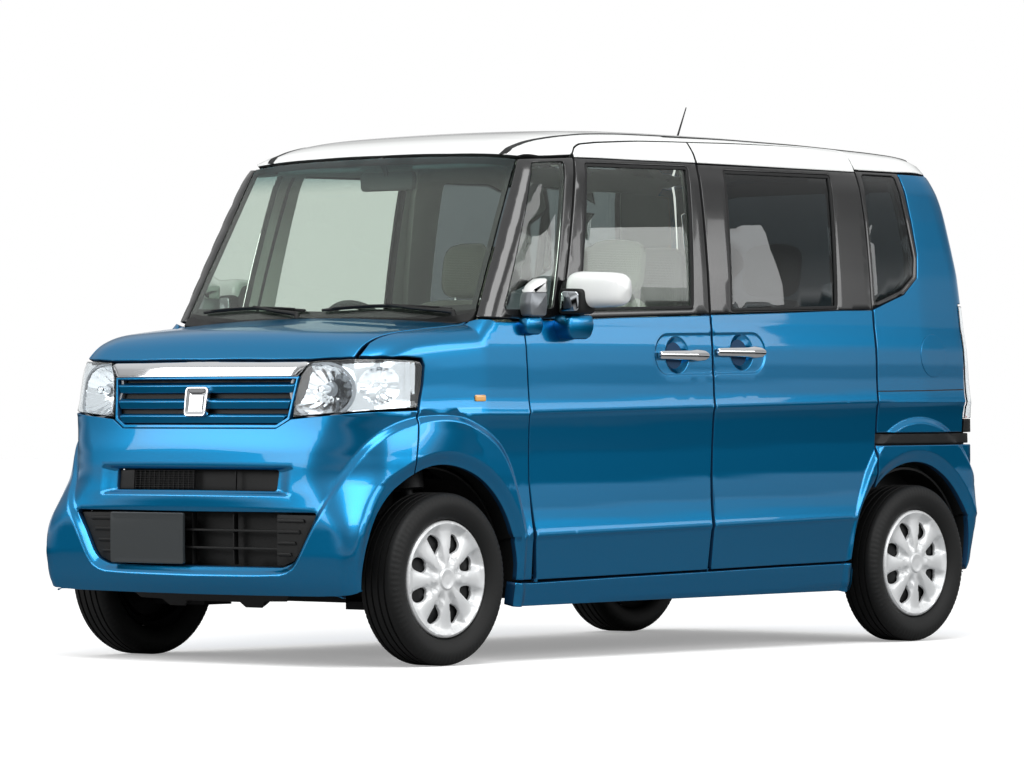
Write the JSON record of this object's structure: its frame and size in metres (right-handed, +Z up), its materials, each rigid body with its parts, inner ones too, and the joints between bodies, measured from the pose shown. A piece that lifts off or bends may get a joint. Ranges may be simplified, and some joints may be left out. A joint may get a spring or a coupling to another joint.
{
  "type": "kei car",
  "caption": "Tall two-box kei car with hinged front doors, sliding rear doors, opening bonnet and tailgate, steered and rolling wheels.",
  "frame": {"origin": "on the ground at the middle of the overall length and width", "axes": "-Y towards the nose, +X towards the left side of the car, +Z up"},
  "size_m": [1.8752, 3.395, 1.9152],
  "materials": {
    "body_paint": "metallic medium blue clear-coated paint",
    "roof_paint": "solid white clear-coated paint",
    "pillar_gloss": "gloss charcoal pillar and frame finish",
    "black_plastic": "grained black plastic",
    "chrome": "bright chrome plating",
    "clear_glass": "light green tinted safety glass",
    "dark_glass": "dark privacy glass",
    "lamp_lens": "clear lamp lens over a bright reflector",
    "trim": "moulded grey cabin trim",
    "seat_cloth": "woven grey-green seat cloth",
    "underbody": "black chassis paint",
    "engine_metal": "cast aluminium",
    "exhaust_steel": "aluminised steel",
    "rubber": "black rubber",
    "tyre": "black ribbed tyre rubber",
    "wheel_silver": "silver painted wheel cover"
  },
  "bodies": {
    "root": {"floor_pan": "underbody", "side_frames": "body_paint", "quarter_panels": "body_paint", "roof": "roof_paint", "front_fenders": "body_paint", "front_bumper": "body_paint", "rear_bumper": "body_paint", "wheel_arch_liners": "black_plastic", "windscreen": "clear_glass", "side_windows": "dark_glass", "sliding_doors": "body_paint", "grille": "chrome", "headlamps": "lamp_lens", "tail_lamps": "lamp_lens", "dashboard": "trim", "front_seats": "seat_cloth", "rear_seat": "seat_cloth", "front_suspension": "underbody", "rear_axle": "underbody", "engine": "engine_metal", "fuel_tank": "black_plastic", "exhaust": "exhaust_steel", "wipers": "rubber", "antenna": "rubber"},
    "door_left": {"front_door_left": "body_paint", "front_door_glass_left": "clear_glass", "mirror_left": "roof_paint"},
    "door_right": {"front_door_right": "body_paint", "front_door_glass_right": "clear_glass", "mirror_right": "roof_paint"},
    "bonnet_lid": {"bonnet": "body_paint"},
    "tailgate_lid": {"tailgate": "body_paint", "tailgate_glass": "dark_glass"},
    "fuel_flap": {"fuel_lid": "body_paint"},
    "steering": {"steering_wheel": "trim"},
    "knuckle_l": {"knuckle_left": "underbody"},
    "knuckle_r": {"knuckle_right": "underbody"},
    "wheel_fl": {"tyre_front_left": "tyre", "wheel_front_left": "wheel_silver"},
    "wheel_fr": {"tyre_front_right": "tyre", "wheel_front_right": "wheel_silver"},
    "wheel_rl": {"tyre_rear_left": "tyre", "wheel_rear_left": "wheel_silver"},
    "wheel_rr": {"tyre_rear_right": "tyre", "wheel_rear_right": "wheel_silver"}
  },
  "joints": [
    {"name": "steer_left", "type": "hinge", "parent": "root", "child": "knuckle_l", "pos_m": [0.6, -1.2375, 0.175], "axis": [-0.1503, 0, 0.9886], "range_deg": [-35, 35]},
    {"name": "steer_right", "type": "hinge", "parent": "root", "child": "knuckle_r", "pos_m": [-0.6, -1.2375, 0.175], "axis": [0.1503, 0, 0.9886], "range_deg": [-35, 35]},
    {"name": "steering_wheel_turn", "type": "hinge", "parent": "root", "child": "steering", "pos_m": [-0.34, -0.532, 1], "axis": [0, 0.9063, 0.4226], "range_deg": [-525, 525]},
    {"name": "door_left_hinge", "type": "hinge", "parent": "root", "child": "door_left", "pos_m": [0.728, -0.8, 0.7], "axis": [0, 0, -1], "range_deg": [0, 68]},
    {"name": "door_right_hinge", "type": "hinge", "parent": "root", "child": "door_right", "pos_m": [-0.728, -0.8, 0.7], "axis": [0, 0, 1], "range_deg": [0, 68]},
    {"name": "bonnet_hinge", "type": "hinge", "parent": "root", "child": "bonnet_lid", "pos_m": [0, -1.122, 1.13], "axis": [-1, 0, 0], "range_deg": [0, 55]},
    {"name": "tailgate_hinge", "type": "hinge", "parent": "root", "child": "tailgate_lid", "pos_m": [0, 1.512, 1.744], "axis": [1, 0, 0], "range_deg": [0, 84]},
    {"name": "fuel_flap_hinge", "type": "hinge", "parent": "root", "child": "fuel_flap", "pos_m": [0.733, 1.287, 1.018], "axis": [0, 0, -1], "range_deg": [0, 100]},
    {"name": "wheel_fl_spin", "type": "hinge", "parent": "knuckle_l", "child": "wheel_fl", "pos_m": [0.6525, -1.2375, 0.2785], "axis": [1, 0, 0], "continuous": true},
    {"name": "wheel_fr_spin", "type": "hinge", "parent": "knuckle_r", "child": "wheel_fr", "pos_m": [-0.6525, -1.2375, 0.2785], "axis": [1, 0, 0], "continuous": true},
    {"name": "wheel_rl_spin", "type": "hinge", "parent": "root", "child": "wheel_rl", "pos_m": [0.6525, 1.2825, 0.2785], "axis": [1, 0, 0], "continuous": true},
    {"name": "wheel_rr_spin", "type": "hinge", "parent": "root", "child": "wheel_rr", "pos_m": [-0.6525, 1.2825, 0.2785], "axis": [1, 0, 0], "continuous": true}
  ],
  "couplings": [
    {"joint": "steer_right", "follows": "steer_left", "ratio": 1},
    {"joint": "steering_wheel_turn", "follows": "steer_left", "ratio": 15}
  ]
}
